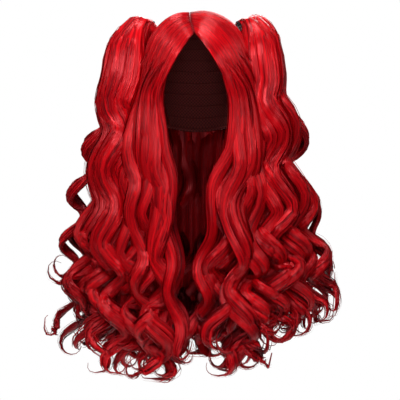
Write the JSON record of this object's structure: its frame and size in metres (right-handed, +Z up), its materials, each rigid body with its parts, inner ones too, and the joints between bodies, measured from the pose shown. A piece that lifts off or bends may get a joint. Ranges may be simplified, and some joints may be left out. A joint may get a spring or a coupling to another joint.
{
  "type": "ponytail wig",
  "caption": "Long red wig with a middle parting, swept-aside fringe, wavy face-framing locks and clip-on curly ponytails at the sides, on a thin open cap worn over the head.",
  "frame": {"origin": "inside top of the cap, where the crown of the head sits", "axes": "+Z up, front of the wig towards -Y, +X to the right as seen from the front"},
  "size_m": [0.4311, 0.2509, 0.5472],
  "materials": {
    "hair": "glossy red synthetic hair fibre",
    "cap_net": "dark stretch net sewn with hair wefts",
    "clip": "gloss black moulded plastic"
  },
  "bodies": {
    "root": {"wig_cap": "cap_net", "fringe_left": "hair", "fringe_right": "hair", "crown_hair": "hair", "front_hair_left": "hair", "front_hair_right": "hair", "back_hair": "hair", "ponytail_left": "hair", "ponytail_right": "hair", "ponytail_clip_left": "clip", "ponytail_clip_right": "clip"}
  },
  "joints": []
}
